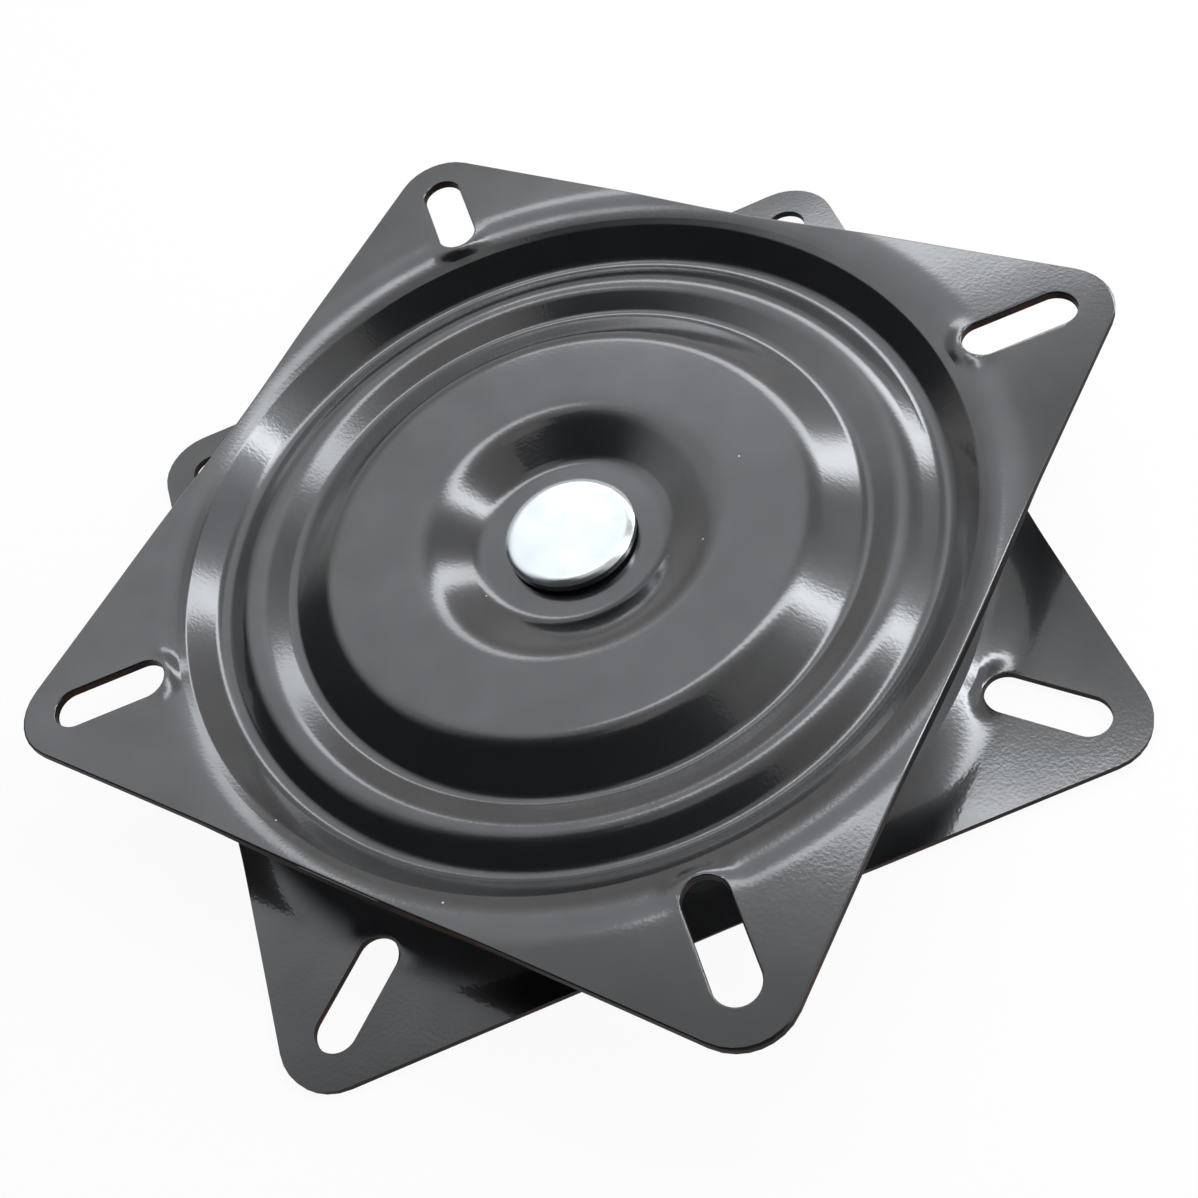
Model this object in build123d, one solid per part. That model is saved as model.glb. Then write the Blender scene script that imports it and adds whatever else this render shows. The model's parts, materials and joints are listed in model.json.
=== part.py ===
from build123d import *
from math import cos, radians, tan
import os

# Seat swivel plate: two equal square pressings, one turned over, that run on a ring of
# caged balls and are held together by a shoulder rivet. Millimetres, +Z up, origin on
# the swivel axis in the plane that the lower ears stand on. The corners of the bottom
# plate lie on X and Y.

# Sheet and outline of a plate
sheet = 1.9
plate_side = 178.0
side_draw_in = 0.4
corner_radius = 11.5
edge_round = 0.4
rest_turn = 43.9

# Slots in the ears
slot_width = 9.0
slot_length = 24.6
slot_margin = 7.3
ear_count = 4

# Balls and their cage
ball_diameter = 10.0
ball_count = 20
ball_clearance = 0.2
cage_sheet = 1.0
cage_half_width = 7.4
cage_lip = 1.8
cage_bend = 1.2
pocket_clearance = 0.08

# Rivet and its washers
head_diameter = 28.2
head_flat_diameter = 24.0
head_edge_drop = 0.75
head_thickness = 2.4
shoulder_diameter = 12.0
neck_diameter = 9.6
tail_diameter = 15.0
tail_rim = 1.0
tail_height = 2.6
head_washer_diameter = 22.0
head_washer_thickness = 1.0
spacer_diameter = 26.0
spacer_thickness = 1.9
tail_washer_diameter = 20.0
tail_washer_thickness = 1.2
pivot_clearance = 0.06
running_clearance = 0.05

# Pressed form, from the ears inwards: runs are radial lengths, drops are depths below the
# outer face of the ears
ear_inset = 2.2
wall_run = 8.6
track_half_width = 8.0
track_slope = 24.5
track_drop = 6.0
track_groove_clearance = 0.4
disc_slope_run = 10.4
disc_rim_drop = 3.9
pocket_rim_radius = 31.5
pocket_rim_drop = 4.8
pocket_floor_margin = 6.6

# Bend radii on the outer face
ear_bend = 7.2
valley_bend = 3.3
disc_rim_bend = 8.6
pocket_rim_bend = 12.0
pocket_floor_bend = 4.0

# Heights that follow from the ball
ball_radius = ball_diameter / 2
mid_height = track_drop + sheet + ball_clearance + ball_radius
overall_height = 2 * mid_height
floor_drop = mid_height - sheet - spacer_thickness / 2 - running_clearance / 2

# Radii of the pressed form, from the side of the plate inwards
ear_bend_radius = plate_side / 2 - ear_inset
outer_valley_radius = ear_bend_radius - wall_run
track_radius = outer_valley_radius - track_half_width
inner_valley_radius = track_radius - track_half_width
disc_rim_radius = inner_valley_radius - disc_slope_run
pocket_floor_radius = head_diameter / 2 + pocket_floor_margin

# The ball track is a ridge with equal flanks, rounded to clear the ball underneath
track_bend = ball_radius + track_groove_clearance + sheet
track_apex_drop = track_drop - track_bend * (1 / cos(radians(track_slope)) - 1)
valley_drop = track_apex_drop + track_half_width * tan(radians(track_slope))


def plate_outline():
    """Square with rounded corners on X and Y, its sides drawn in a little by the pressing."""
    half_turn = 180 / ear_count
    side_distance = plate_side / 2
    half_length = side_distance * tan(radians(half_turn))
    side = ThreePointArc(
        (side_distance, -half_length),
        (side_distance - side_draw_in, 0),
        (side_distance, half_length),
    )
    square = make_face(PolarLocations(0, ear_count) * side)
    return Rot(0, 0, half_turn) * fillet(square.vertices(), corner_radius)


def blank():
    """The cut plate as a deep block, with its outline and slots."""
    outline = plate_outline()
    slot_radius = outline.bounding_box().max.X - slot_margin - slot_length / 2
    slots = PolarLocations(slot_radius, ear_count) * SlotOverall(slot_length, slot_width)
    return extrude(outline - slots, overall_height, both=True)


def pressed_plate(hole_diameter):
    """One pressing, its ears' outer face at z = 0, its corners on X and Y, form below."""
    outer_line = FilletPolyline(
        (hole_diameter / 2, -floor_drop),
        (pocket_floor_radius, -floor_drop),
        (pocket_rim_radius, -pocket_rim_drop),
        (disc_rim_radius, -disc_rim_drop),
        (inner_valley_radius, -valley_drop),
        (track_radius, -track_apex_drop),
        (outer_valley_radius, -valley_drop),
        (ear_bend_radius, 0),
        (plate_side, 0),
        radius=[
            pocket_floor_bend,
            pocket_rim_bend,
            disc_rim_bend,
            valley_bend,
            track_bend,
            valley_bend,
            ear_bend,
        ],
    )
    section = make_face(offset(outer_line, sheet, side=Side.RIGHT, closed=True))
    # The seam of the turned form lies between a slot and the middle of a side
    seam_turn = 90 / ear_count
    form = Rot(0, 0, seam_turn) * revolve(Plane.XZ * section, Axis.Z)
    cutter = blank()
    plate = form & cutter
    cut_edges = new_edges(form, cutter, combined=plate)
    rolled_edges = cut_edges.filter_by(lambda edge: edge.center().Z > -sheet / 2)
    return fillet(rolled_edges, edge_round)


def ring(outer_diameter, inner_diameter, thickness, base_height):
    """A flat washer on the swivel axis, standing on base_height."""
    face = Circle(outer_diameter / 2) - Circle(inner_diameter / 2)
    return Pos(0, 0, base_height) * extrude(face, thickness)


def ball_places():
    """Centres of the balls round the track."""
    return Pos(0, 0, mid_height) * PolarLocations(track_radius, ball_count)


# Plates: the rivet's neck is tight in the bottom one, the top one turns on its shoulder
bottom_plate = Rot(180, 0, 0) * pressed_plate(neck_diameter)
top_plate = pressed_plate(shoulder_diameter + 2 * pivot_clearance)
top_plate = Pos(0, 0, overall_height) * Rot(0, 0, rest_turn) * top_plate

# Heights of the rivet's seats
lower_floor_outside = floor_drop
lower_floor_inside = floor_drop + sheet
upper_floor_outside = overall_height - floor_drop
head_washer_seat = upper_floor_outside + running_clearance
head_seat = head_washer_seat + head_washer_thickness
head_top = head_seat + head_thickness
tail_seat = lower_floor_outside - tail_washer_thickness
tail_tip = tail_seat - tail_height

# Washers, all loose on the shoulder or the neck
washer_bore = shoulder_diameter + 2 * pivot_clearance
head_washer = ring(head_washer_diameter, washer_bore, head_washer_thickness, head_washer_seat)
spacer_washer = ring(spacer_diameter, washer_bore, spacer_thickness, lower_floor_inside)
tail_washer = ring(tail_washer_diameter, neck_diameter, tail_washer_thickness, tail_seat)

# Shoulder rivet, turned: flat head with an eased edge, shoulder, neck and domed tail
rivet_outline = Polyline((0, tail_tip), (0, head_top), (head_flat_diameter / 2, head_top))
rivet_outline += TangentArc(
    (head_flat_diameter / 2, head_top),
    (head_diameter / 2, head_top - head_edge_drop),
    tangent=(1, 0),
)
rivet_outline += Polyline(
    (head_diameter / 2, head_top - head_edge_drop),
    (head_diameter / 2, head_seat),
    (shoulder_diameter / 2, head_seat),
    (shoulder_diameter / 2, lower_floor_inside),
    (neck_diameter / 2, lower_floor_inside),
    (neck_diameter / 2, tail_seat),
    (tail_diameter / 2, tail_seat),
    (tail_diameter / 2, tail_seat - tail_rim),
)
rivet_outline += TangentArc(
    (0, tail_tip), (tail_diameter / 2, tail_seat - tail_rim), tangent=(1, 0)
)
centre_rivet = revolve(Plane.XZ * make_face(rivet_outline), Axis.Z)

# Ball cage: a pressed channel ring with its lips turned up and a pocket for each ball
cage_line = FilletPolyline(
    (track_radius - cage_half_width, mid_height + cage_lip),
    (track_radius - cage_half_width, mid_height - cage_sheet / 2),
    (track_radius + cage_half_width, mid_height - cage_sheet / 2),
    (track_radius + cage_half_width, mid_height + cage_lip),
    radius=cage_bend + cage_sheet,
)
cage_section = make_face(offset(cage_line, cage_sheet, side=Side.LEFT, closed=True))
ball_cage = revolve(Plane.XZ * cage_section, Axis.Z)
pocket = Cylinder(ball_radius + pocket_clearance, ball_diameter)
ball_cage -= [place * pocket for place in ball_places()]

nodes = {
    "bottom_plate": bottom_plate,
    "top_plate": top_plate,
    "centre_rivet": centre_rivet,
    "head_washer": head_washer,
    "spacer_washer": spacer_washer,
    "tail_washer": tail_washer,
    "ball_cage": ball_cage,
}
for number, place in enumerate(ball_places(), start=1):
    nodes[f"bearing_ball_{number:02d}"] = place * Sphere(ball_radius)

os.makedirs("parts", exist_ok=True)
for name, solid in nodes.items():
    export_step(solid, f"parts/{name}.step")
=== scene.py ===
import json
from math import atan, atan2, ceil, cos, hypot, pi, radians, sin, sqrt, tan

import bpy
from mathutils import Matrix, Vector


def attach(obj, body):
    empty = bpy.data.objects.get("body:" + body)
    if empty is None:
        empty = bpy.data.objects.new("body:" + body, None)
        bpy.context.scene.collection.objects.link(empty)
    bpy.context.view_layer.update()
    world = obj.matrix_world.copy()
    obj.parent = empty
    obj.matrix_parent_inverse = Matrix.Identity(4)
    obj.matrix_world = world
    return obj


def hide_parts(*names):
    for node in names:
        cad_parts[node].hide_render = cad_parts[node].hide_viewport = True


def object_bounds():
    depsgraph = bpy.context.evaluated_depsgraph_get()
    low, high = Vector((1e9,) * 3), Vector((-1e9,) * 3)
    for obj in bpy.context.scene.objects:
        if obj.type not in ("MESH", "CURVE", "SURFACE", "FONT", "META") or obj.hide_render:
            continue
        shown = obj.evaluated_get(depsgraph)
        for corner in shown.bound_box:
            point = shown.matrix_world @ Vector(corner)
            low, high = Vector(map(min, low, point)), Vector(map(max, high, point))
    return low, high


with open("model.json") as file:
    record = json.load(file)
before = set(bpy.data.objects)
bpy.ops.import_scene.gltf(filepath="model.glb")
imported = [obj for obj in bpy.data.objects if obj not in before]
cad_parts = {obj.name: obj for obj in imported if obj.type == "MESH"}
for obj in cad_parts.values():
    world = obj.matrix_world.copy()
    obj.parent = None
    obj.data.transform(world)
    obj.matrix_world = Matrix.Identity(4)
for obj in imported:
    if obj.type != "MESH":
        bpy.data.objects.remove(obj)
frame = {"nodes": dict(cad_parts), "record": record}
nodes = frame["nodes"]
cad_low, cad_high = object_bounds()


# Bottom plate: a square of mild steel sheet, pressed into rings round its centre and slotted in
# its four ears. It is dipped in black stoving enamel after the pressing, and the neck of the
# rivet holds it fast.

mm = 0.001
sheet = 1.9 * mm
half_side = 89.0 * mm
side_draw_in = 0.4 * mm
corner_radius = 11.5 * mm
edge_round = 0.4 * mm
hole_radius = 6.06 * mm
neck_radius = 4.8 * mm

# Radii, drops and bends of the pressed rings, from the centre outwards
floor_drop = 10.225 * mm
pocket_floor_radius = 20.7 * mm
pocket_floor_bend = 7.0 * mm
pocket_rim_radius = 31.5 * mm
pocket_rim_drop = 4.8 * mm
pocket_rim_bend = 14.0 * mm
disc_rim_radius = 51.8 * mm
disc_rim_drop = 3.9 * mm
disc_rim_bend = 8.6 * mm
valley_bend = 3.3 * mm
track_radius = 70.2 * mm
track_half_width = 8.0 * mm
track_drop = 6.0 * mm
track_slope = radians(24.5)
track_bend = 7.3 * mm
crease_radius = 84.4 * mm
crease_drop = 2.5 * mm
crease_bend = 1.8 * mm
ear_radius = 89.4 * mm
ear_bend = 23.7 * mm
wall_foot_radius = track_radius + track_half_width
track_apex_drop = track_drop - track_bend * (1 / cos(track_slope) - 1)
valley_drop = track_apex_drop + track_half_width * tan(track_slope)
shoulder_angle = atan(crease_drop / (ear_radius - crease_radius))

slot_mount = next(m for m in frame["record"]["mounts"] if m["name"] == "base_slots_x")
slot_radius = slot_mount["dims"]["hole_r_mm"] * mm
slot_half_run = slot_mount["dims"]["slot_length_mm"] / 2 * mm - slot_radius
slot_reach = slot_mount["dims"]["spacing_x_mm"] / 2 * mm

# Points closer than this are the same place
same_place = 0.01 * mm


def along_run(start, end, run_step):
    """Points after start, evenly spaced to end."""
    steps = ceil((end - start).length / run_step)
    return [start.lerp(end, step / steps) for step in range(1, steps + 1)]


def bent_line(corners, bends, turn_step, run_step):
    """Points on straight runs between corners, each inner corner rounded to its bend."""
    stops = [Vector(corner) for corner in corners]
    points = [stops[0]]
    for before, corner, after, bend in zip(stops, stops[1:], stops[2:], bends):
        to_before = (before - corner).normalized()
        to_after = (after - corner).normalized()
        opening = to_before.angle(to_after)
        centre = corner + (to_before + to_after).normalized() * bend / sin(opening / 2)
        first = corner + to_before * bend / tan(opening / 2)
        points += along_run(points[-1], first, run_step)
        turn = -(to_before.angle_signed(-to_after))
        steps = ceil(abs(turn) / turn_step)
        for step in range(1, steps + 1):
            spoke = (first - centre).to_3d()
            spoke.rotate(Matrix.Rotation(turn * step / steps, 3, "Z"))
            points.append(centre + spoke.to_2d())
    return points + along_run(points[-1], stops[-1], run_step)


def outline_reach(bearing):
    """Distance from the centre to the plate's edge: rounded corners on X and Y, sides drawn in."""
    off_corner = abs((bearing + pi / 4) % (pi / 2) - pi / 4)
    off_side = pi / 4 - off_corner
    middle = half_side - side_draw_in
    side_end = middle - corner_radius
    reach = middle / cos(off_side)
    # The draw-in depends on the point that it moves, so a few rounds settle it
    for _ in range(3):
        side_end = middle + side_draw_in * (side_end / half_side) ** 2 - corner_radius
        reach = (middle + side_draw_in * (reach * sin(off_side) / half_side) ** 2) / cos(off_side)
    if reach * sin(off_side) < side_end:
        return reach
    corner_centre = side_end * sqrt(2)
    return corner_centre * cos(off_corner) + sqrt(corner_radius ** 2 - (corner_centre * sin(off_corner)) ** 2)


def ear_level(reach):
    """Height of the outer face from the crease over the shoulder to the ear: slope, soft bend and flat."""
    tangent = ear_bend * tan(shoulder_angle / 2)
    flat_start = ear_radius + tangent
    if reach >= flat_start:
        return 0.0
    if reach <= ear_radius - tangent * cos(shoulder_angle):
        return (reach - ear_radius) * tan(shoulder_angle)
    return sqrt(ear_bend ** 2 - (flat_start - reach) ** 2) - ear_bend


def pad_share(x, y):
    """How much of the form shows beside a slot: a small pad round its inner end stays at ear level."""
    along = max(abs(x), abs(y))
    across = min(abs(x), abs(y))
    from_end = hypot(min(0, along - slot_reach + slot_half_run), across)
    pad_flat = 4.9 * mm
    pad_rim = 8.2 * mm
    share = min(1, max(0, (from_end - pad_flat) / (pad_rim - pad_flat)))
    return share * share * (3 - 2 * share)


def start_piece(name):
    """Names the new primitive, the only thing selected, and returns it."""
    piece = bpy.context.object
    piece.name = name
    piece.data.name = name
    return piece


def select_only(piece):
    """Leaves the piece as the one thing that is selected and active."""
    bpy.ops.object.select_all(action="DESELECT")
    piece.select_set(True)
    bpy.context.view_layer.objects.active = piece


def edit(piece, element, chosen):
    """Opens the piece in edit mode with only the chosen vertices, edges or faces selected."""
    select_only(piece)
    bpy.ops.object.mode_set(mode="EDIT")
    bpy.ops.mesh.select_mode(type=element)
    bpy.ops.mesh.select_all(action="DESELECT")
    bpy.ops.object.mode_set(mode="OBJECT")
    parts = {"VERT": piece.data.vertices, "EDGE": piece.data.edges, "FACE": piece.data.polygons}[element]
    for part in parts:
        part.select = chosen(part)
    bpy.ops.object.mode_set(mode="EDIT")


def apply_modifier(piece, kind, settings):
    """Adds a modifier with its settings and applies it."""
    modifier = piece.modifiers.new(kind.lower(), kind)
    for name, value in settings.items():
        setattr(modifier, name, value)
    select_only(piece)
    bpy.ops.object.modifier_apply(modifier=modifier.name)


# The section line is drawn out point by point from the hole to the shoulder, and on to a plain skirt
shoulder_radius = 86.0 * mm
bend_step = radians(5)
run_step = 2.2 * mm
section = bent_line(
    [
        (hole_radius, -floor_drop),
        (pocket_floor_radius, -floor_drop),
        (pocket_rim_radius, -pocket_rim_drop),
        (disc_rim_radius, -disc_rim_drop),
        (track_radius - track_half_width, -valley_drop),
        (track_radius, -track_apex_drop),
        (wall_foot_radius, -valley_drop),
        (crease_radius, -crease_drop),
        (shoulder_radius, ear_level(shoulder_radius)),
    ],
    [pocket_floor_bend, pocket_rim_bend, disc_rim_bend, valley_bend, track_bend, valley_bend, crease_bend],
    bend_step,
    run_step,
)
skirt_radius = 121.0 * mm
skirt_step = 1.0 * mm
skirt = along_run(section[-1], Vector((skirt_radius, section[-1].y)), skirt_step)
bpy.ops.object.select_all(action="DESELECT")
bpy.ops.mesh.primitive_plane_add(size=mm)
pressing = start_piece("pressing")
edit(pressing, "VERT", lambda vertex: True)
bpy.ops.mesh.merge(type="CENTER")
bpy.ops.transform.translate(value=(section[0].x, 0, section[0].y))
for start, end in zip(section + skirt, (section + skirt)[1:]):
    step = end - start
    bpy.ops.mesh.extrude_vertices_move(TRANSFORM_OT_translate={"value": (step.x, 0, step.y)})
bpy.ops.object.mode_set(mode="OBJECT")

# It is turned round the axis
turns = 360
weld = 0.002 * mm
apply_modifier(pressing, "SCREW", {"angle": 2 * pi, "steps": turns, "render_steps": turns,
                                   "use_merge_vertices": True})
edit(pressing, "FACE", lambda face: True)
bpy.ops.mesh.remove_doubles(threshold=weld)
bpy.ops.object.mode_set(mode="OBJECT")
if sum(face.normal.z for face in pressing.data.polygons) < 0:
    pressing.data.flip_normals()

# The skirt is drawn to the plate's outline and the ears' level. Its rings crowd towards the shoulder,
# and the last two leave a narrow band for the rolled edge.
skirt_growth = 1.7
rim_band = 0.45 * mm
skirt_run = skirt_radius - skirt_step - shoulder_radius
for vertex in pressing.data.vertices:
    x, y, z = vertex.co
    reach = hypot(x, y)
    if reach > shoulder_radius + same_place:
        bearing = atan2(y, x)
        room = outline_reach(bearing) - shoulder_radius
        share = min(1, (reach - shoulder_radius) / skirt_run)
        if reach < skirt_radius - skirt_step / 2:
            room -= rim_band
        reach = shoulder_radius + room * share ** skirt_growth
        x = reach * cos(bearing)
        y = reach * sin(bearing)
        z = ear_level(reach)
    if reach > wall_foot_radius:
        z *= pad_share(x, y)
    vertex.co = (x, y, z)

# Given its thickness, with the outer edge rolled by the cutting tool
outer_face_count = len(pressing.data.vertices)
apply_modifier(pressing, "SOLIDIFY", {"thickness": sheet, "offset": -1, "use_even_offset": True,
                                      "use_quality_normals": True})


def on_outer_rim(edge):
    """Whether an edge runs round the outline on the outer face."""
    ends = [pressing.data.vertices[i].co for i in edge.vertices]
    gaps = [abs(hypot(p.x, p.y) - outline_reach(atan2(p.y, p.x))) for p in ends]
    return max(edge.vertices) < outer_face_count and max(gaps) < same_place


edit(pressing, "EDGE", on_outer_rim)
bpy.ops.mesh.bevel(offset=edge_round, segments=3, profile=0.5, affect="EDGES", clamp_overlap=False)
bpy.ops.object.mode_set(mode="OBJECT")

# Slots are cut by a punch with a small flare, which leaves their outer edge rolled too
flare_lift = 0.02 * mm
flange = 1.0 * mm
punch_depth = 3.0 * mm
punch_sides = 48
upright = 0.1
bpy.ops.object.select_all(action="DESELECT")
bpy.ops.mesh.primitive_circle_add(vertices=punch_sides, radius=slot_radius, fill_type="NGON",
                                  location=(0, 0, -punch_depth), rotation=(0, 0, pi / punch_sides))
punch = start_piece("slot_punch")
bpy.ops.object.transform_apply(location=True, rotation=True, scale=True)
for end in (1, -1):
    edit(punch, "VERT", lambda vertex: vertex.co.x * end > 0)
    bpy.ops.transform.translate(value=(end * slot_half_run, 0, 0))
    bpy.ops.object.mode_set(mode="OBJECT")
edit(punch, "FACE", lambda face: True)
bpy.ops.mesh.extrude_region_move(TRANSFORM_OT_translate={"value": (0, 0, punch_depth + flare_lift)})
bpy.ops.mesh.extrude_region_move(TRANSFORM_OT_translate={"value": (0, 0, 2 * flange)})
bpy.ops.object.mode_set(mode="OBJECT")
edit(punch, "FACE", lambda face: abs(face.normal.z) < upright and face.center.z > flare_lift)
bpy.ops.mesh.extrude_region_shrink_fatten(TRANSFORM_OT_shrink_fatten={"value": flange})
bpy.ops.object.mode_set(mode="OBJECT")


def at_flare(edge):
    """Whether an edge lies in the corner between the punch and its flange."""
    ends = [punch.data.vertices[i].co for i in edge.vertices]
    outs = [hypot(max(0, abs(p.x) - slot_half_run), p.y) for p in ends]
    return all(abs(p.z - flare_lift) < same_place for p in ends) and max(outs) < slot_radius + flange / 2


edit(punch, "EDGE", at_flare)
bpy.ops.mesh.bevel(offset=edge_round, segments=4, profile=0.5, affect="EDGES", clamp_overlap=False)
bpy.ops.mesh.select_all(action="SELECT")
bpy.ops.mesh.normals_make_consistent(inside=False)
bpy.ops.object.mode_set(mode="OBJECT")
punch.location.x = slot_reach
bpy.ops.object.transform_apply(location=True)
for turn in (pi / 2, pi):
    edit(punch, "FACE", lambda face: True)
    bpy.ops.mesh.duplicate()
    bpy.ops.transform.rotate(value=turn, orient_axis="Z", center_override=(0, 0, 0))
    bpy.ops.object.mode_set(mode="OBJECT")
apply_modifier(pressing, "BOOLEAN", {"operation": "DIFFERENCE", "solver": "EXACT", "object": punch})
bpy.data.objects.remove(punch)
bpy.ops.object.shade_smooth_by_angle(angle=radians(40))
apply_modifier(pressing, "WEIGHTED_NORMAL", {"mode": "FACE_AREA", "keep_sharp": True})

# Faces steeper than any of the form are cut edges, which take the second material
steepest_form = 0.5
for face in pressing.data.polygons:
    face.material_index = int(abs(face.normal.z) < steepest_form)

# A copy turned over, with its hole closed up to the rivet's neck, is the bottom plate
lower_pressing = bpy.data.objects.new("lower_pressing", pressing.data.copy())
bpy.context.collection.objects.link(lower_pressing)
edit(lower_pressing, "VERT", lambda vertex: hypot(vertex.co.x, vertex.co.y) < hole_radius + same_place)
hole_share = neck_radius / hole_radius
bpy.ops.transform.resize(value=(hole_share, hole_share, 1), center_override=(0, 0, 0))
bpy.ops.object.mode_set(mode="OBJECT")
lower_pressing.rotation_euler.x = pi
bpy.ops.object.transform_apply(rotation=True)
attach(lower_pressing, "base")
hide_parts("bottom_plate")


def linear(hex_colour):
    """The linear colour, with alpha, of an sRGB hex value."""
    shares = [int(hex_colour[i:i + 2], 16) / 255 for i in (1, 3, 5)]
    return [s / 12.92 if s <= 0.04045 else ((s + 0.055) / 1.055) ** 2.4 for s in shares] + [1.0]


def add_node(tree, kind, settings, inputs):
    """Adds a node, sets its options and fills or links its inputs, which go by name or by number. A colour
    mix has its share at 0, its two colours at 6 and 7, and its result at output 2."""
    made = tree.nodes.new(kind)
    for name, value in settings.items():
        setattr(made, name, value)
    for key, value in inputs.items():
        if isinstance(value, bpy.types.NodeSocket):
            tree.links.new(value, made.inputs[key])
        else:
            made.inputs[key].default_value = value
    return made


def new_material(name):
    """An empty node material, its tree and its output node."""
    material = bpy.data.materials.new(name)
    material.use_nodes = True
    material.node_tree.nodes.clear()
    output = add_node(material.node_tree, "ShaderNodeOutputMaterial", {}, {})
    return material, material.node_tree, output


def per_metre(size_mm):
    """Scale of a pattern whose features are size_mm across."""
    return 1000 / size_mm


def stoved_black_enamel(name):
    """Gloss black stoving enamel on pressed steel: deep black under a clear skin of resin, with an orange
    peel that breaks up the reflections, and a few specks of dust baked in."""
    material, tree, output = new_material(name)
    place = add_node(tree, "ShaderNodeTexCoord", {}, {})

    # Orange peel: a grain under a millimetre on slow waves, both about a hundredth of a millimetre high
    wave_size = 7
    wave_height = 0.01 * mm
    peel_size = 0.7
    peel_height = 0.013 * mm
    wave = add_node(tree, "ShaderNodeTexNoise", {},
                    {"Vector": place.outputs["Object"], "Scale": per_metre(wave_size), "Detail": 1.0})
    waved = add_node(tree, "ShaderNodeBump", {}, {"Height": wave.outputs["Fac"], "Distance": wave_height})
    peel = add_node(tree, "ShaderNodeTexNoise", {},
                    {"Vector": place.outputs["Object"], "Scale": per_metre(peel_size), "Detail": 1.5})
    peeled = add_node(tree, "ShaderNodeBump", {},
                      {"Height": peel.outputs["Fac"], "Distance": peel_height, "Normal": waved.outputs[0]})

    # Black that drifts a little from place to place, and its gloss with it
    drift_size = 35
    drift = add_node(tree, "ShaderNodeTexNoise", {},
                     {"Vector": place.outputs["Object"], "Scale": per_metre(drift_size), "Detail": 3.0})
    black = add_node(tree, "ShaderNodeMix", {"data_type": "RGBA"},
                     {0: drift.outputs["Fac"], 6: linear("#0B0C0D"), 7: linear("#151618")})
    gloss = add_node(tree, "ShaderNodeMapRange", {}, {
        "Value": drift.outputs["Fac"], "From Min": 0.3, "From Max": 0.7, "To Min": 0.18, "To Max": 0.26})

    # Dust: a light speck in a few of the cells of a 10 mm pattern
    cell_size = 10
    speck_size = 0.25
    speck_share = 0.2
    cells = add_node(tree, "ShaderNodeTexVoronoi", {},
                     {"Vector": place.outputs["Object"], "Scale": per_metre(cell_size)})
    pick = add_node(tree, "ShaderNodeSeparateColor", {}, {0: cells.outputs["Color"]})
    picked = add_node(tree, "ShaderNodeMath", {"operation": "GREATER_THAN"},
                      {0: pick.outputs[0], 1: 1 - speck_share})
    near = add_node(tree, "ShaderNodeMath", {"operation": "LESS_THAN"},
                    {0: cells.outputs["Distance"], 1: speck_size / cell_size})
    speck = add_node(tree, "ShaderNodeMath", {"operation": "MULTIPLY"},
                     {0: picked.outputs[0], 1: near.outputs[0]})
    dusted = add_node(tree, "ShaderNodeMix", {"data_type": "RGBA"},
                      {0: speck.outputs[0], 6: black.outputs[2], 7: linear("#C4C6C4")})

    # The resin skin is thinner in soft patches
    patch_size = 14
    patch = add_node(tree, "ShaderNodeTexNoise", {},
                     {"Vector": place.outputs["Object"], "Scale": per_metre(patch_size), "Detail": 2.5})
    skin = add_node(tree, "ShaderNodeMapRange", {}, {
        "Value": patch.outputs["Fac"], "From Min": 0.3, "From Max": 0.7, "To Min": 0.7, "To Max": 1.0})
    shader = add_node(tree, "ShaderNodeBsdfPrincipled", {}, {
        "Base Color": dusted.outputs[2],
        "Roughness": gloss.outputs[0],
        "IOR": 1.55,
        "Normal": peeled.outputs[0],
        "Coat Weight": skin.outputs[0],
        "Coat Roughness": 0.05,
        "Coat IOR": 1.5,
        "Coat Normal": peeled.outputs[0],
    })
    tree.links.new(shader.outputs[0], output.inputs["Surface"])
    return material


def thin_enamel_on_cut_edge(name):
    """Sheared steel edge that the enamel has drawn back from: dull, near black, with rust-brown patches."""
    material, tree, output = new_material(name)
    place = add_node(tree, "ShaderNodeTexCoord", {}, {})
    patch_size = 16
    tear_size = 0.5
    tear_height = 0.03 * mm
    patches = add_node(tree, "ShaderNodeTexNoise", {},
                       {"Vector": place.outputs["Object"], "Scale": per_metre(patch_size), "Detail": 3.0})
    bare = add_node(tree, "ShaderNodeMapRange", {"interpolation_type": "SMOOTHSTEP"},
                    {"Value": patches.outputs["Fac"], "From Min": 0.45, "From Max": 0.68})
    tint = add_node(tree, "ShaderNodeMix", {"data_type": "RGBA"},
                    {0: bare.outputs[0], 6: linear("#0E0D0D"), 7: linear("#3A2016")})
    tear = add_node(tree, "ShaderNodeTexNoise", {},
                    {"Vector": place.outputs["Object"], "Scale": per_metre(tear_size), "Detail": 2.0})
    torn = add_node(tree, "ShaderNodeBump", {}, {"Height": tear.outputs["Fac"], "Distance": tear_height})
    shader = add_node(tree, "ShaderNodeBsdfPrincipled", {}, {
        "Base Color": tint.outputs[2],
        "Roughness": 0.6,
        "IOR": 1.5,
        "Specular IOR Level": 0.12,
        "Normal": torn.outputs[0],
    })
    tree.links.new(shader.outputs[0], output.inputs["Surface"])
    return material


cut_edge = thin_enamel_on_cut_edge("thin_enamel_cut_edge")
lower_pressing.data.materials.append(stoved_black_enamel("black_enamel_lower_plate"))
lower_pressing.data.materials.append(cut_edge)


# Tail washer: stamped from steel strip and zinc-plated. The rivet's tail is upset over it, under
# the bottom plate, so that the tail can't pull through.


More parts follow.
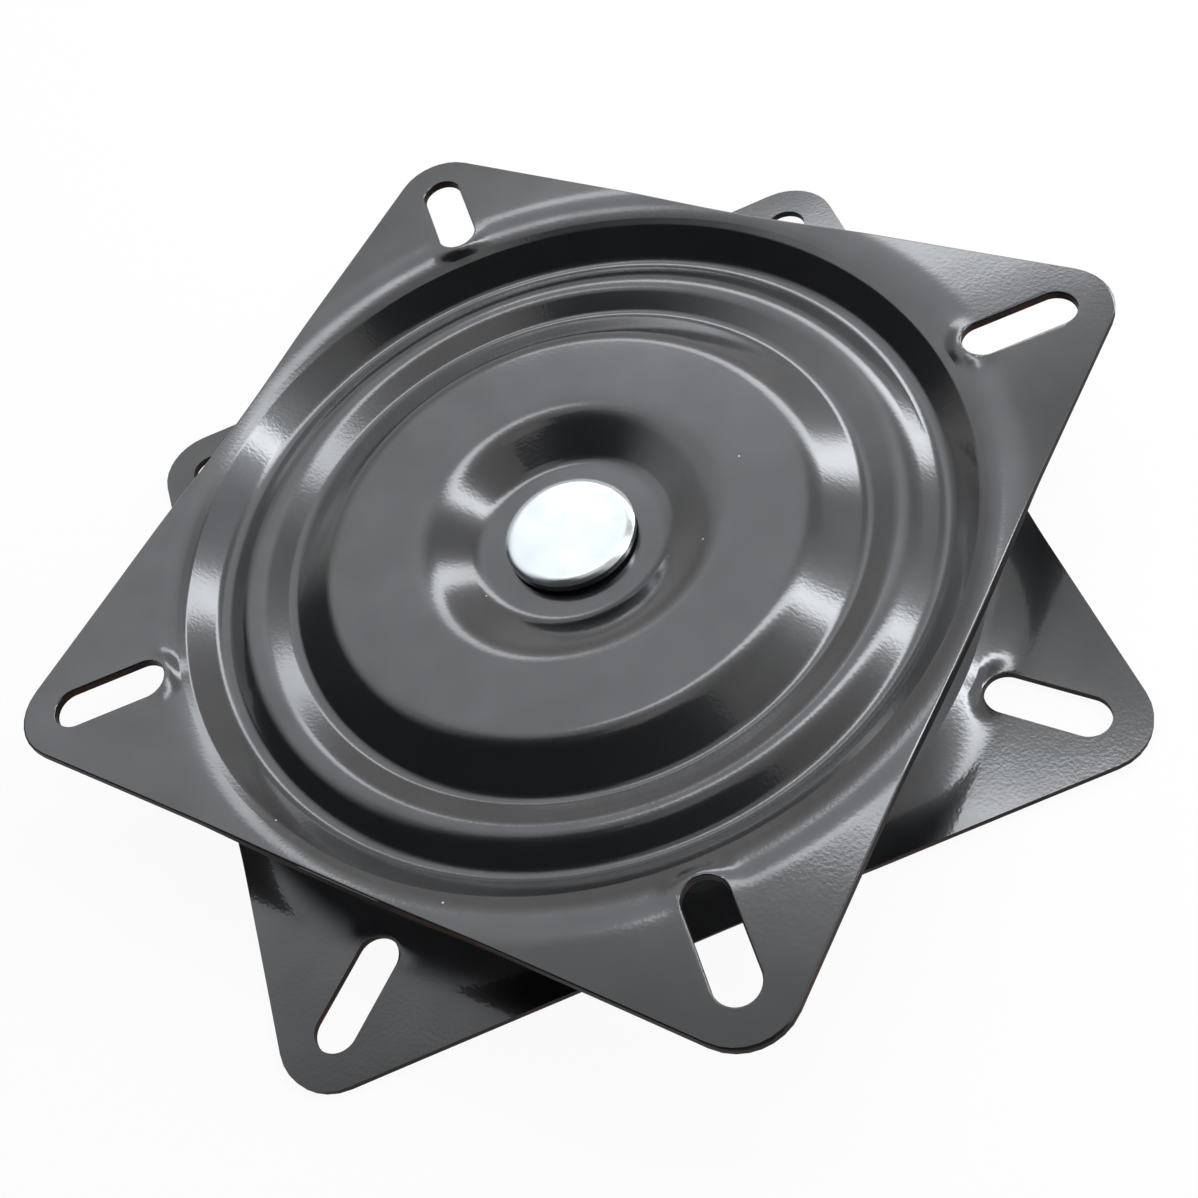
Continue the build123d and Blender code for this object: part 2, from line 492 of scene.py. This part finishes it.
def zinc_plate(name, ring_size):
    """Bright zinc plate, blue-passivated: a cool white metal with faint turned rings and cloudy patches."""
    material, tree, output = new_material(name)
    place = add_node(tree, "ShaderNodeTexCoord", {}, {})
    ring_height = 0.006 * mm
    cloud_size = 6
    dent_height = 0.05 * mm
    flat_place = add_node(tree, "ShaderNodeVectorMath", {"operation": "MULTIPLY"},
                          {0: place.outputs["Object"], 1: (1, 1, 0)})
    reach = add_node(tree, "ShaderNodeVectorMath", {"operation": "LENGTH"}, {0: flat_place.outputs[0]})
    rings = add_node(tree, "ShaderNodeTexNoise", {"noise_dimensions": "1D"},
                     {"W": reach.outputs["Value"], "Scale": per_metre(ring_size), "Detail": 2.0})
    turned = add_node(tree, "ShaderNodeBump", {}, {"Height": rings.outputs["Fac"], "Distance": ring_height})
    cloud = add_node(tree, "ShaderNodeTexNoise", {},
                     {"Vector": place.outputs["Object"], "Scale": per_metre(cloud_size), "Detail": 4.0})
    dents = add_node(tree, "ShaderNodeBump", {},
                     {"Height": cloud.outputs["Fac"], "Distance": dent_height, "Normal": turned.outputs[0]})
    tint = add_node(tree, "ShaderNodeMix", {"data_type": "RGBA"},
                    {0: cloud.outputs["Fac"], 6: linear("#BCC1C3"), 7: linear("#CED2D3")})
    polish = add_node(tree, "ShaderNodeMapRange", {}, {
        "Value": cloud.outputs["Fac"], "From Min": 0.3, "From Max": 0.7, "To Min": 0.14, "To Max": 0.26})
    shader = add_node(tree, "ShaderNodeBsdfPrincipled", {}, {
        "Base Color": tint.outputs[2],
        "Metallic": 1.0,
        "Roughness": polish.outputs[0],
        "Normal": dents.outputs[0],
    })
    tree.links.new(shader.outputs[0], output.inputs["Surface"])
    return material


washer_ring_size = 0.8
nodes["tail_washer"].material_slots[0].material = zinc_plate("zinc_plate_tail_washer", washer_ring_size)


# Spacer washer: moulded in black nylon. It lies loose round the rivet's shoulder, between the two
# plates, and keeps them from rubbing.


def moulded_black_nylon(name):
    """Moulded black nylon: a dull, slightly waxy black with a fine spark-eroded grain."""
    material, tree, output = new_material(name)
    place = add_node(tree, "ShaderNodeTexCoord", {}, {})
    grain_size = 0.4
    grain_height = 0.01 * mm
    grain = add_node(tree, "ShaderNodeTexNoise", {},
                     {"Vector": place.outputs["Object"], "Scale": per_metre(grain_size), "Detail": 2.0})
    rough = add_node(tree, "ShaderNodeBump", {}, {"Height": grain.outputs["Fac"], "Distance": grain_height})
    tint = add_node(tree, "ShaderNodeMix", {"data_type": "RGBA"},
                    {0: grain.outputs["Fac"], 6: linear("#0C0C0D"), 7: linear("#1A1A1C")})
    shader = add_node(tree, "ShaderNodeBsdfPrincipled", {}, {
        "Base Color": tint.outputs[2],
        "Roughness": 0.55,
        "IOR": 1.53,
        "Normal": rough.outputs[0],
    })
    tree.links.new(shader.outputs[0], output.inputs["Surface"])
    return material


nodes["spacer_washer"].material_slots[0].material = moulded_black_nylon("black_nylon_spacer")


# Ball cage: a channel ring pressed from thin bright steel strip, with a pocket for each ball.
# It lies loose in the track and wears a film of oil.


def oiled_strip_steel(name):
    """Cold-rolled strip with oil on it: grey metal, brownish where the oil has pooled."""
    material, tree, output = new_material(name)
    place = add_node(tree, "ShaderNodeTexCoord", {}, {})
    film_size = 9
    scratch_size = 0.6
    scratch_height = 0.008 * mm
    film = add_node(tree, "ShaderNodeTexNoise", {},
                    {"Vector": place.outputs["Object"], "Scale": per_metre(film_size), "Detail": 4.0})
    tint = add_node(tree, "ShaderNodeMix", {"data_type": "RGBA"},
                    {0: film.outputs["Fac"], 6: linear("#8E8B84"), 7: linear("#5E5648")})
    sheen = add_node(tree, "ShaderNodeMapRange", {}, {
        "Value": film.outputs["Fac"], "From Min": 0.3, "From Max": 0.7, "To Min": 0.4, "To Max": 0.25})
    scratch = add_node(tree, "ShaderNodeTexNoise", {},
                       {"Vector": place.outputs["Object"], "Scale": per_metre(scratch_size), "Detail": 2.0})
    worn = add_node(tree, "ShaderNodeBump", {}, {"Height": scratch.outputs["Fac"], "Distance": scratch_height})
    shader = add_node(tree, "ShaderNodeBsdfPrincipled", {}, {
        "Base Color": tint.outputs[2],
        "Metallic": 1.0,
        "Roughness": sheen.outputs[0],
        "Normal": worn.outputs[0],
    })
    tree.links.new(shader.outputs[0], output.inputs["Surface"])
    return material


nodes["ball_cage"].material_slots[0].material = oiled_strip_steel("oiled_strip_cage")


# Bearing balls: hardened chrome steel, ground and lapped, that roll between the two pressed tracks
# and carry the seat's weight.


def lapped_ball_steel(name):
    """Lapped bearing steel: a mirror of neutral grey, with smears of oil that dull it in places."""
    material, tree, output = new_material(name)
    place = add_node(tree, "ShaderNodeTexCoord", {}, {})
    smear_size = 3
    smear = add_node(tree, "ShaderNodeTexNoise", {},
                     {"Vector": place.outputs["Object"], "Scale": per_metre(smear_size), "Detail": 3.0})
    tint = add_node(tree, "ShaderNodeMix", {"data_type": "RGBA"},
                    {0: smear.outputs["Fac"], 6: linear("#C6C7C8"), 7: linear("#A9A49B")})
    sheen = add_node(tree, "ShaderNodeMapRange", {}, {
        "Value": smear.outputs["Fac"], "From Min": 0.4, "From Max": 0.7, "To Min": 0.06, "To Max": 0.2})
    shader = add_node(tree, "ShaderNodeBsdfPrincipled", {}, {
        "Base Color": tint.outputs[2],
        "Metallic": 1.0,
        "Roughness": sheen.outputs[0],
    })
    tree.links.new(shader.outputs[0], output.inputs["Surface"])
    return material


ball_steel = lapped_ball_steel("lapped_ball_steel")
for name, ball in nodes.items():
    if name.startswith("bearing_ball"):
        ball.material_slots[0].material = ball_steel


# Top plate: the same pressing the other way up, with the same enamel. It turns on the rivet's
# shoulder and stands here with its corners between those of the bottom plate.

top_turn = radians(43.9)
select_only(pressing)
pressing.name = "upper_pressing"
pressing.rotation_euler.z = top_turn
pressing.location.z = cad_high.z
bpy.ops.object.transform_apply(location=True, rotation=True)
pressing.data.materials.append(stoved_black_enamel("black_enamel_upper_plate"))
pressing.data.materials.append(cut_edge)
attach(pressing, "top")
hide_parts("top_plate")


# Head washer: thin black nylon, loose on the rivet's shoulder between its head and the floor of the
# top plate, which turns under it.

nodes["head_washer"].material_slots[0].material = moulded_black_nylon("black_nylon_head_washer")


# Centre rivet: turned from steel bar and zinc-plated bright. Its wide flat head holds the top plate
# down, and its tail is upset under the bottom plate.

rivet_ring_size = 0.5
nodes["centre_rivet"].material_slots[0].material = zinc_plate("zinc_plate_rivet", rivet_ring_size)


# Floor: a wide sheet of white board that the plate stands on. What looks at it sees mostly white,
# with a share of its lit surface left, so that the shadow stays.


def looked_at(tree):
    """A socket that is 1 for what looks at a surface: the camera, a mirror or something clear."""
    seen = add_node(tree, "ShaderNodeLightPath", {}, {})
    mirrored = add_node(tree, "ShaderNodeMath", {"operation": "MAXIMUM"},
                        {0: seen.outputs["Is Camera Ray"], 1: seen.outputs["Is Glossy Ray"]})
    through = add_node(tree, "ShaderNodeMath", {"operation": "MAXIMUM"},
                       {0: mirrored.outputs[0], 1: seen.outputs["Is Transmission Ray"]})
    return through.outputs[0]


floor_size = 8.0
floor_gap = 0.2 * mm
floor_white = 0.94
bpy.ops.object.select_all(action="DESELECT")
bpy.ops.mesh.primitive_plane_add(size=floor_size, location=(0, 0, -floor_gap))
floor = bpy.context.object
floor.name = "white_board"
board, tree, output = new_material("white_board")
white_share = add_node(tree, "ShaderNodeMath", {"operation": "MULTIPLY"}, {0: looked_at(tree), 1: floor_white})
lit = add_node(tree, "ShaderNodeBsdfDiffuse", {}, {"Color": linear("#F6F6F6")})
glow = add_node(tree, "ShaderNodeEmission", {}, {"Color": linear("#FFFFFF"), "Strength": 1.0})
mixed = add_node(tree, "ShaderNodeMixShader", {},
                 {0: white_share.outputs[0], 1: lit.outputs[0], 2: glow.outputs[0]})
tree.links.new(mixed.outputs[0], output.inputs["Surface"])
floor.data.materials.append(board)


# Studio lights: two long strip softboxes across the far side, a broad soft panel behind them and a
# low one at the right, all facing the swivel. They give the streaks on the enamel.


def toward(azimuth, elevation, distance):
    """The point that far from the swivel's centre; azimuth runs from +X to +Y, both in degrees."""
    turn = radians(azimuth)
    rise = radians(elevation)
    return distance * Vector((cos(rise) * cos(turn), cos(rise) * sin(turn), sin(rise)))


def turned_to(right, back):
    """The turn that lays X along right and Z along back."""
    return Matrix((right, back.cross(right), back)).transposed().to_4x4()


def softbox(name, start, end, width, radiance, feather):
    """A flat lamp that faces the swivel. Its radiance runs from start to end and fades at the rim."""
    middle = (start + end) / 2
    length = (end - start).length
    run = (end - start).normalized()
    back = middle.normalized()
    back = (back - run * back.dot(run)).normalized()
    bpy.ops.object.select_all(action="DESELECT")
    bpy.ops.mesh.primitive_plane_add(size=1.0)
    lamp = bpy.context.object
    lamp.name = name
    lamp.matrix_world = Matrix.Translation(middle) @ turned_to(run, back)
    lamp.scale = (length, width, 1)
    lamp.visible_camera = False
    cloth, tree, output = new_material(name + "_cloth")
    place = add_node(tree, "ShaderNodeTexCoord", {}, {})
    spot = add_node(tree, "ShaderNodeSeparateXYZ", {}, {0: place.outputs["Object"]})
    level = add_node(tree, "ShaderNodeMapRange", {}, {
        "Value": spot.outputs["X"], "From Min": -0.5, "From Max": 0.5,
        "To Min": radiance[0], "To Max": radiance[1]})
    fades = []
    for side, side_length in (("X", length), ("Y", width)):
        out = add_node(tree, "ShaderNodeMath", {"operation": "ABSOLUTE"}, {0: spot.outputs[side]})
        fades.append(add_node(tree, "ShaderNodeMapRange", {"interpolation_type": "SMOOTHSTEP"}, {
            "Value": out.outputs[0], "From Min": 0.5 - feather / side_length, "From Max": 0.5,
            "To Min": 1.0, "To Max": 0.0}))
    fade = add_node(tree, "ShaderNodeMath", {"operation": "MULTIPLY"},
                    {0: fades[0].outputs[0], 1: fades[1].outputs[0]})
    clear = add_node(tree, "ShaderNodeBsdfTransparent", {}, {})
    glow = add_node(tree, "ShaderNodeEmission", {}, {"Color": linear("#F6FAFF"), "Strength": level.outputs[0]})
    lamp_cloth = add_node(tree, "ShaderNodeMixShader", {},
                          {0: fade.outputs[0], 1: clear.outputs[0], 2: glow.outputs[0]})
    tree.links.new(lamp_cloth.outputs[0], output.inputs["Surface"])
    lamp.data.materials.append(cloth)


softbox("upper_strip", start=toward(28, 35, 0.75), end=toward(147, 62, 0.75),
        width=0.12, radiance=(17.0, 4.4), feather=0.05)
softbox("lower_strip", start=toward(47, 6, 0.75), end=toward(138, 42, 0.75),
        width=0.14, radiance=(12.0, 4.2), feather=0.05)
softbox("broad_panel", start=toward(97, 46, 0.98), end=toward(198, 33, 0.98),
        width=0.82, radiance=(1.75, 1.55), feather=0.37)
softbox("side_panel", start=toward(-15, 23, 1.5), end=toward(65, 23, 1.5),
        width=0.92, radiance=(1.8, 1.8), feather=0.2)


# Dark hood: a dark cloth hood round the camera's side of the set, and a thin scrim round the rest.
# The near slopes of the enamel mirror it, which gives the plate its deep blacks. The camera itself
# doesn't see it.

hood_radius = 1.0
hood_middle = radians(262)
hood_half_turn = radians(95)
hood_feather = radians(14)
hood_top = radians(88)
top_feather = radians(8)
scrim_cover = 0.3
bpy.ops.object.select_all(action="DESELECT")
bpy.ops.mesh.primitive_uv_sphere_add(segments=96, ring_count=48, radius=hood_radius)
hood = bpy.context.object
hood.name = "black_hood"
hood.visible_camera = False
cloth, tree, output = new_material("black_hood_cloth")
place = add_node(tree, "ShaderNodeTexCoord", {}, {})
turned = add_node(tree, "ShaderNodeMapping", {},
                  {"Vector": place.outputs["Object"], "Rotation": (0, 0, -hood_middle)})
spot = add_node(tree, "ShaderNodeSeparateXYZ", {}, {0: turned.outputs[0]})
bearing = add_node(tree, "ShaderNodeMath", {"operation": "ARCTAN2"},
                   {0: spot.outputs["Y"], 1: spot.outputs["X"]})
off_middle = add_node(tree, "ShaderNodeMath", {"operation": "ABSOLUTE"}, {0: bearing.outputs[0]})
beside = add_node(tree, "ShaderNodeMapRange", {"interpolation_type": "SMOOTHSTEP"}, {
    "Value": off_middle.outputs[0], "From Min": hood_half_turn - hood_feather, "From Max": hood_half_turn,
    "To Min": 1.0, "To Max": scrim_cover})
above = add_node(tree, "ShaderNodeMapRange", {"interpolation_type": "SMOOTHSTEP"}, {
    "Value": spot.outputs["Z"], "From Min": hood_radius * sin(hood_top - top_feather),
    "From Max": hood_radius * sin(hood_top), "To Min": 1.0, "To Max": 0.0})
cover = add_node(tree, "ShaderNodeMath", {"operation": "MULTIPLY"},
                 {0: beside.outputs[0], 1: above.outputs[0]})
clear = add_node(tree, "ShaderNodeBsdfTransparent", {}, {})
dark = add_node(tree, "ShaderNodeBsdfDiffuse", {}, {"Color": linear("#666668")})
mixed = add_node(tree, "ShaderNodeMixShader", {},
                 {0: cover.outputs[0], 1: clear.outputs[0], 2: dark.outputs[0]})
tree.links.new(mixed.outputs[0], output.inputs["Surface"])
hood.data.materials.append(cloth)


# Room: white to whatever looks at it, and dim to the surfaces that it only fills with light, so that
# the white background adds little light to the swivel.

room_fill = 0.5
world = bpy.data.worlds.new("white_room")
world.use_nodes = True
tree = world.node_tree
tree.nodes.clear()
output = add_node(tree, "ShaderNodeOutputWorld", {}, {})
fill = add_node(tree, "ShaderNodeBackground", {}, {"Color": linear("#FFFFFF"), "Strength": room_fill})
white = add_node(tree, "ShaderNodeBackground", {}, {"Color": linear("#FFFFFF"), "Strength": 1.0})
mixed = add_node(tree, "ShaderNodeMixShader", {},
                 {0: looked_at(tree), 1: fill.outputs[0], 2: white.outputs[0]})
tree.links.new(mixed.outputs[0], output.inputs["Surface"])
bpy.context.scene.world = world
bpy.context.scene.view_settings.view_transform = "Standard"


# Camera: from above the near corner, turned a little on its axis as the photograph is. Its place and
# lens were fitted to the plate's corners, slots and outline.

aim = Vector((0.018246, -0.017379, 0.0262))
azimuth = radians(46.931)
elevation = radians(52.865)
distance = 0.31821
roll = radians(-24.46)
image_width = 1198
focal_pixels = 1617.3
back = Vector((sin(azimuth) * cos(elevation), -cos(azimuth) * cos(elevation), sin(elevation)))
level = Vector((cos(azimuth), sin(azimuth), 0))
upward = back.cross(level)
right = level * cos(roll) + upward * sin(roll)
camera = bpy.data.objects.new("camera", bpy.data.cameras.new("camera"))
camera.data.sensor_width = 36
camera.data.lens = camera.data.sensor_width * focal_pixels / image_width
camera.data.clip_start = 0.01
camera.matrix_world = Matrix.Translation(aim + back * distance) @ turned_to(right, back)
bpy.context.collection.objects.link(camera)
bpy.context.scene.camera = camera
